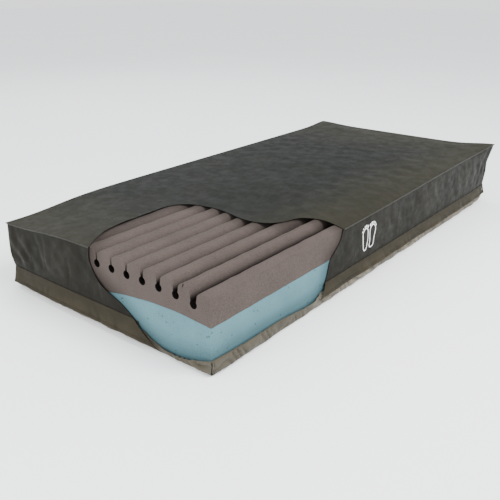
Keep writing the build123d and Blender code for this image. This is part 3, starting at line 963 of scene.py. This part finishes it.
class MakePiping(MakePiece):
    """Piping sewn into the seam round the top"""
    bl_idname = "mattress.piping"
    bl_label = "Piping"

    def make(self, s):
        radius, out = 0.0020, 0.0021
        rings, ways = [], []
        for key, side in SIDES.items():
            p = side.at(np.linspace(0, side.length, int(side.length / 0.010)), 0.0)[:-1]
            p[:, 2] = side.roof(p) + CLOTH - radius
            way = np.tile(side.out, (len(p), 1))
            way[0] += SIDES[{"near": "foot", "head": "near", "far": "head", "foot": "far"}[key]].out
            rings.append(p)
            ways.append(way)
        centre, way = np.concatenate(rings), np.concatenate(ways)
        turns = np.linspace(0, 2 * math.pi, 10, endpoint=False)
        points = (centre[:, None] + (out + radius * np.cos(turns))[None, :, None] * way[:, None]
                  + (radius * np.sin(turns))[None, :, None] * np.array((0.0, 0.0, 1.0)))
        count, round_ = len(centre), len(turns)
        faces = [
            (i * round_ + j, ((i + 1) % count) * round_ + j,
             ((i + 1) % count) * round_ + (j + 1) % round_, i * round_ + (j + 1) % round_)
            for i in range(count) for j in range(round_)
        ]
        o = from_points("top_piping", points.reshape(-1, 3), faces=faces)
        in_edit(o, outward)
        cut(o, cutter("top"))
        lay(o)
        cord = finish_named("piping_cloth", webbing, colours().cover_lit_edge_and_piping, 0.55)
        seat(o, "mattress", "top_edge_welt", cord)
        shade(o, 60)


def lower_cloth(name, colour):
    """Uncoated cloth of the lower half: pale and creased, with painted light and shade on the creases and a painted
    shadow along the window.
    """
    f = Finish(name, 0.75, sheen=0.08, gloss=0.15)
    dark, light = shades(colour, 0.42, 1.35)
    # painted light and shade on the creases: standing pleats paler, hollows darker
    folds = f.between(f.attribute("crease"), -0.8, 0.7)
    tone = f.math("ADD", f.math("MULTIPLY", folds, 0.7), f.patches(28, 5, 0.3, 0.7, 0.0, 0.35))
    # painted shadow: the near wall towards the foot end, by the window, is darkened towards the flaps' colour
    at_window = f.math("MULTIPLY", f.between(f.axis("X"), -0.36, -0.60), f.between(f.axis("Y"), 0.0, -0.20))
    shadow = f.mix(f.math("MULTIPLY", at_window, 0.8), f.mix(tone, dark, light), shades(colours().flap, 1.25, 1)[0])
    f.speckle(shadow, colour, 1.5, 900, 0.2)
    f.bump(f.grain(34, 5, stretch=(1, 1, 0.6)), 0.002, 0.8)
    return weave(f, 0.0012, 0.00008).material


# ======================= storm flaps =======================
class FlapForm:
    """Where one flap hangs: the plane it lies in, its waves and its hem."""

    def __init__(self, key):
        self.side, self.key = SIDES[key], key
        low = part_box(f"{key}_flap")[0]
        hinge = np.array(HINGES[f"{key}_flap"]["pos_m"])
        self.out_at_top = abs(float((hinge - self.side.corner) @ self.side.out))
        self.drop_z = SEAM_Z - low.z
        self.drop = math.hypot(self.drop_z, FLAP_STANDOFF)
        self.lean = FLAP_STANDOFF / self.drop
        self.fall = math.sqrt(1 - self.lean**2)
        self.end = 1 * MM

    def flat(self, run, down, proud=0.0):
        """Points on the flap's flat plane: so far along the side, down from the seam, and out from the plane."""
        down = np.asarray(down, float)
        z = SEAM_Z - down * self.fall + proud * self.lean
        return self.side.at(run, z, self.out_at_top + down * self.lean + proud * self.fall)

    def wave(self, p):
        """How far each point stands off the plane: gentle waves that grow towards the lower edge."""
        run = self.side.run_of(p)
        down = np.clip((SEAM_Z - p[:, 2]) / self.drop_z, 0, 1)
        broad = ripple(run, p[:, 2], SEEDS[self.key] + 5, 0.42, 0.2)
        fine = ripple(run, p[:, 2], SEEDS[self.key] + 6, 0.15, 0.8)
        hung = pleats(run, p[:, 2], SEEDS[self.key] + 7, 0.13, 0.6)
        return down**1.3 * (0.0002 + 0.0024 * broad + 0.0010 * fine + 0.0034 * hung)

    def hang(self, p):
        """Waves the points, and draws the ends of the flap in with the cover's corners."""
        off = self.wave(p)
        normal = self.side.out * self.fall + np.array((0, 0, self.lean))
        moved = p + off[:, None] * normal
        pull_x, pull_y, _, _ = tuck_and_roll(moved[:, 0], moved[:, 1], np.maximum(moved[:, 2], 0.02))
        pull = np.stack([np.sign(p[:, 0]) * pull_x, np.sign(p[:, 1]) * pull_y, 0 * pull_x], 1)
        return moved - 0.9 * pull, off

    def piece(self, name, columns, rows, down_from, down_to, proud, thickness):
        """A thickened strip of the flap on its flat plane, cut by the window."""
        side, end = self.side, self.end
        place = lambda u, v: tuple(
            self.flat(end + u * (side.length - 2 * end), down_to + v * (down_from - down_to), proud).T
        )
        o = thicken(grid(name, columns, rows, place), thickness)
        if side.has_window:
            cut(o, cutter(self.key))
            keep_largest(o)
        return o


def keep_largest(o):
    """Deletes every loose part but the one with the most points."""
    name = o.name
    in_edit(o, lambda: bpy.ops.mesh.separate(type="LOOSE"))
    parts = sorted(bpy.context.selected_objects, key=lambda p: len(p.data.vertices))
    kept = parts[-1]
    if kept is not o:
        o.data, kept.data = kept.data, o.data
    remove(*[p for p in parts if p is not o])
    o.name = o.data.name = name
    return o


class MakeFlaps(MakePiece):
    """Storm flaps over the zip, each sewn along its top and free below, with a stitched hem"""
    bl_idname = "mattress.flaps"
    bl_label = "Storm flaps"

    def make(self, s):
        cloth = finish_named("flap_cloth", side_cloth, colours().flap, 1.35, 0.0008)
        thread = finish_named("hem_thread", webbing, shades(colours().flap, 0.55, 1)[0], 0.7)
        for key in SIDES:
            form = FlapForm(key)
            body = f"{key}_flap"
            columns = 260 if form.side.long else 130
            o = form.piece(f"{key}_storm_flap", columns, 12, 0.0, form.drop, 0.0006, 0.0012)
            hem = form.piece(f"{key}_flap_hem", columns, 2, form.drop - HEM_HEIGHT, form.drop - 0.0006,
                             HEM_PROUD, 0.0008)
            for piece in (o, hem):
                p, off = form.hang(points_of(piece))
                move_points(piece, p)
                note_creases(piece, off)
                shade(piece, 50)
            seat(o, body, f"{key}_flap", cloth)
            seat(hem, body, None, cloth)
            along = form.side.run_of(points_of(hem))
            run = np.arange(along.min() + 0.004, along.max() - 0.004, STITCH_PITCH)
            line = lambda lift: form.hang(form.flat(run, form.drop - HEM_SEAM, HEM_PROUD + lift))[0]
            rows = stitches(f"{key}_hem_stitches", line(0.0001), line(0.0011))
            seat(rows, body, None, thread)


# ======================= repeated small pieces =======================
def repeat(name, unit, centres, along, out):
    """Copies of a small piece, its X turned to along and its Y to out at each centre, as one mesh."""
    shape_points = points_of(unit)
    faces = [tuple(f.vertices) for f in unit.data.polygons]
    remove(unit)
    up = np.cross(along, out)
    points = (centres[:, None] + shape_points[None, :, 0, None] * along[:, None]
              + shape_points[None, :, 1, None] * out[:, None] + shape_points[None, :, 2, None] * up[:, None])
    size = len(shape_points)
    every = [tuple(i * size + v for v in f) for i in range(len(centres)) for f in faces]
    return from_points(name, points.reshape(-1, 3), faces=every)


def unit_rows(a):
    return a / np.maximum(np.linalg.norm(a, axis=1, keepdims=True), 1e-9)


def stitches(name, line, above, long=0.0030, thick=0.00045):
    """Stitches along a line of points; above is the same line a millimetre off the cloth."""
    deselect()
    bpy.ops.mesh.primitive_ico_sphere_add(subdivisions=1, radius=1)
    unit = bpy.context.object
    move_points(unit, points_of(unit) * np.array((long / 2, thick, thick)))
    along = unit_rows(np.gradient(line, axis=0))
    return shade(repeat(name, unit, line, along, unit_rows(above - line)), 60)


class ZipPath:
    """The zip's route: from the window along the near side, round by the head and far sides to the foot end."""

    def __init__(self):
        s = shape()
        self.start = 0.842 * s.window_length
        self.stop = 2 * HALF_W - 0.59 * s.window_reach

    def points(self, pitch, inward, z):
        """Points, directions and outward ways along the route, this far behind the cover's face."""
        found = []
        for key in ("near", "head", "far", "foot"):
            side = SIDES[key]
            low = self.start if key == "near" else inward
            high = self.stop if key == "foot" else side.length - inward
            run = np.arange(low + pitch / 2, high, pitch)
            p = side.at(run, z, -inward)
            found.append((p, np.tile(side.along, (len(run), 1)), np.tile(side.out, (len(run), 1))))
        return [np.concatenate(part) for part in zip(*found)]


class MakeZip(MakePiece):
    """Zip: two woven tapes and two rows of moulded teeth"""
    bl_idname = "mattress.zip"
    bl_label = "Zip"

    def make(self, s):
        tape_cloth = finish_named("zip_tape_cloth", webbing, (0.012, 0.012, 0.011), 0.75)
        nylon = finish_named("zip_tooth_nylon", moulded, (0.014, 0.014, 0.013))
        path = ZipPath()
        for half in ("lower", "upper"):
            low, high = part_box(f"zip_tape_{half}")
            o = self.tape(f"zip_{half}_tape", path, low.z, high.z, HALF_L - high.x)
            seat(o, "mattress", f"zip_tape_{half}", tape_cloth)
            self.teeth(path, half, nylon)

    def tape(self, name, path, low, high, inward):
        p, _, _ = path.points(0.006, inward, low)
        rows = 4
        points = np.concatenate([p + np.array((0, 0, (high - low) * k / rows)) for k in range(rows + 1)])
        n = len(p)
        faces = [(k * n + i, k * n + i + 1, (k + 1) * n + i + 1, (k + 1) * n + i)
                 for k in range(rows) for i in range(n - 1)]
        o = thicken(from_points(name, points, faces=faces), 0.0007)
        lay(o)
        return shade(o, 40)

    def teeth(self, path, half, nylon):
        low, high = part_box(f"zip_teeth_{half}")
        deep = 0.0024
        inward = HALF_L - high.x + 0.0014
        centres, along, out = path.points(TOOTH_PITCH, inward, (low.z + high.z) / 2)
        if half == "upper":
            centres = centres + along * (TOOTH_PITCH / 2)
        deselect()
        bpy.ops.mesh.primitive_cube_add(size=1)
        tooth = bpy.context.object
        sign = 1 if half == "lower" else -1
        in_edit(
            tooth,
            lambda: bpy.ops.transform.resize(value=(0.0016, deep, high.z - low.z - 0.0002)),
            lambda: bpy.ops.mesh.bevel(offset=0.0003, segments=1, affect="EDGES"),
        )
        p = points_of(tooth)
        p[:, 0] *= np.where(p[:, 2] * sign > 0, 1.25, 0.8)
        move_points(tooth, p)
        o = repeat(f"zip_{half}_teeth", tooth, centres, along, out)
        in_edit(o, outward)
        lay(o)
        seat(o, "mattress", f"zip_teeth_{half}", nylon)
        shade(o, 40)


class MakeZipMetal(MakePiece):
    """Finish of the zip's slider, pull tab and end stops, whose shapes come from the frame"""
    bl_idname = "mattress.zip_metal"
    bl_label = "Zip metal"

    def make(self, s):
        plate = finish_named("zip_plated_metal", metal)
        for node in ("zip_slider", "zip_pull_tab", "zip_end_stops"):
            for place in frame["nodes"][node].material_slots:
                place.material = plate


# ======================= print and stitching =======================
class MakeMark(MakePiece):
    """Printed mark of two bare soles, which shows the foot end"""
    bl_idname = "mattress.mark"
    bl_label = "Foot end mark"

    def make(self, s):
        low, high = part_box("foot_end_mark")
        centre = (low.x + high.x) / 2
        spacing, long, wide, line = 0.050, 0.084, 0.040, 0.0036
        toe_room, first_toe, toe_turn = 0.0098, 52, 25
        top = high.z - toe_room
        ink_white = finish_named("print_ink", ink, colours().print_white)
        pieces = []
        for side in (-1, 1):
            x = centre + side * spacing / 2
            ball = (x, top - wide / 2)
            heel = (x - side * 0.1 * wide, top - long + 0.36 * wide)
            outer = sole(ball, heel, wide / 2, 0.36 * wide)
            inner = sole(ball, heel, wide / 2 - line, 0.36 * wide - line)
            count = len(outer)
            faces = [(i, (i + 1) % count, count + (i + 1) % count, count + i) for i in range(count)]
            pieces.append((np.array(outer + inner), faces))
            for toe in range(5):
                lean = math.radians(first_toe + toe_turn * toe)
                size = 0.0048 - 0.0005 * toe
                reach = wide / 2 + 0.0018 + size
                middle = (x - side * reach * math.cos(lean), ball[1] + reach * math.sin(lean))
                ring = on_circle(middle, size, np.linspace(0, 2 * math.pi, 14, endpoint=False))
                pieces.append((np.array(ring), [tuple(range(14))]))
        points, faces = [], []
        for flat, polygons in pieces:
            faces += [tuple(len(points) + v for v in f) for f in polygons]
            points += [(x, -HALF_W - 0.0003, z) for x, z in flat]
        o = from_points("foot_end_print", points, faces=faces)
        in_edit(o, outward)
        face_out(o, SIDES["near"].out)
        thicken(o, 0.00025)
        p, _ = stand_out(SIDES["near"], points_of(o), upper_folds)
        move_points(o, p)
        seat(o, "mattress", "foot_end_mark", ink_white)
        shade(o, 40)


def face_out(o, way):
    """Turns every face of a flat piece to point this way."""
    if sum(Vector(f.normal).dot(Vector(way)) for f in o.data.polygons) < 0:
        in_edit(o, lambda: bpy.ops.mesh.flip_normals())


def sole(ball, heel, ball_radius, heel_radius):
    """The outline round two circles, as (x, z) pairs: the ball of a foot above its heel."""
    dx, dz = heel[0] - ball[0], heel[1] - ball[1]
    gap, down = math.hypot(dx, dz), math.atan2(dz, dx)
    open_ = math.acos((ball_radius - heel_radius) / gap)
    over = np.linspace(down + open_, down + 2 * math.pi - open_, 30)
    under = np.linspace(down - open_, down + open_, 18)
    side = 6
    ring, back = on_circle(ball, ball_radius, over), on_circle(heel, heel_radius, under)
    bridge = lambda a, b: [
        (a[0] + (b[0] - a[0]) * k / side, a[1] + (b[1] - a[1]) * k / side) for k in range(1, side)
    ]
    return ring + bridge(ring[-1], back[0]) + back + bridge(back[-1], ring[0])


class MakeStitching(MakePiece):
    """Stitching: along the flaps' seams and the bars sewn at the window's corner"""
    bl_idname = "mattress.stitching"
    bl_label = "Stitching"

    def make(self, s):
        thread = finish_named("dark_thread", webbing, (0.02, 0.019, 0.016), 0.7)
        for key, side in SIDES.items():
            start = 0.016 + (s.window_length * 0.885 if key == "near" else 0.0)
            stop = side.length - 0.016 - (0.64 * s.window_reach if key == "foot" else 0.0)
            run = np.arange(start, stop, STITCH_PITCH)
            seam = lambda off: stand_out(side, side.at(run, SEAM_Z + 0.004, off), upper_folds)[0]
            rows = stitches(f"{key}_seam_stitches", seam(0.0003), seam(0.0013))
            seat(rows, "mattress", None, thread)
        self.bars(thread)

    def bars(self, thread):
        """Two short bars of close stitches that hold the cloth at the near foot corner."""
        side = SIDES["near"]
        for number, low in enumerate((0.006, 0.030)):
            run, z = 0.006, np.linspace(low, low + 0.012, 14)
            bar = lambda off: stand_out(side, side.at(np.full(14, run), z, off), lower_creases)[0]
            rows = stitches(f"corner_bar_{number + 1}", bar(0.0004), bar(0.0014), 0.0036, 0.0007)
            seat(rows, "mattress", None, thread)


# ======================= stage =======================
class MakeStage(MakePiece):
    """Pale floor, soft studio lights and the camera"""
    bl_idname = "mattress.stage"
    bl_label = "Stage"

    def make(self, s):
        deselect()
        bpy.ops.mesh.primitive_plane_add(size=40, location=(0, 0, -0.0006))
        floor = bpy.context.object
        floor.name = "studio_floor"
        pale = Finish("studio_floor_paint", 0.9)
        pale.paint(pale.mix(pale.patches(1.2, 2), (0.94, 0.965, 0.965), (0.96, 0.98, 0.98)))
        floor.data.materials.append(pale.material)
        self.light("key", (0.0, -3.0, 3.4), 2.2, 300)
        self.light("back", (1.2, 3.4, 3.6), 3.0, 80)
        self.light("foot", (-4.0, -0.2, 1.8), 2.4, 150)
        world = bpy.data.worlds.new("studio")
        bpy.context.scene.world = world
        world.use_nodes = True
        background = world.node_tree.nodes["Background"].inputs
        background["Color"].default_value = (0.96, 0.98, 1.0, 1)
        background["Strength"].default_value = 1.55
        self.camera((-2.013, -1.420, 0.964), (-0.717, -0.382, 0.269), 46.75)

    def light(self, name, place, size, power):
        lamp = bpy.data.lights.new(f"{name}_softbox", "AREA")
        lamp.size, lamp.energy = size, power
        self.aim(link(lamp.name, lamp), place, (-0.3, -0.1, 0.1))

    def camera(self, place, target, lens):
        view = bpy.data.cameras.new("camera")
        view.lens, view.sensor_width = lens, 36
        bpy.context.scene.camera = self.aim(link("camera", view), place, target)

    def aim(self, o, place, target):
        """Stands a lamp or the camera at place, facing target."""
        o.location = place
        o.rotation_euler = (Vector(target) - Vector(place)).to_track_quat("-Z", "Y").to_euler()
        return o


# ======================= add-on =======================
PIECES = [
    MakeBaseFoam, MakeTopper, MakeTopPanel, MakeSidePanels, MakeLowerCover, MakePiping,
    MakeFlaps, MakeZip, MakeZipMetal, MakeMark, MakeStitching, MakeStage,
]


class MattressPanel(bpy.types.Panel):
    """Sizes, colours and pieces of the mattress"""
    bl_idname = "VIEW3D_PT_mattress"
    bl_label = "Mattress"
    bl_space_type = "VIEW_3D"
    bl_region_type = "UI"
    bl_category = "Mattress"

    def draw(self, context):
        for group in (context.scene.mattress_shape, context.scene.mattress_colours):
            box = self.layout.box()
            for name in group.__annotations__:
                box.prop(group, name)
        for operator in PIECES:
            self.layout.operator(operator.bl_idname)


def register():
    for kind in (MattressShape, MattressColours, *PIECES, MattressPanel):
        bpy.utils.register_class(kind)
    bpy.types.Scene.mattress_shape = PointerProperty(type=MattressShape)
    bpy.types.Scene.mattress_colours = PointerProperty(type=MattressColours)


def unregister():
    del bpy.types.Scene.mattress_shape
    del bpy.types.Scene.mattress_colours
    for kind in reversed((MattressShape, MattressColours, *PIECES, MattressPanel)):
        bpy.utils.unregister_class(kind)


def main():
    register()
    for operator in PIECES:
        group, name = operator.bl_idname.split(".")
        getattr(getattr(bpy.ops, group), name)()
    remove(*CUTTERS.values())
    CUTTERS.clear()


if __name__ == "__main__":
    main()
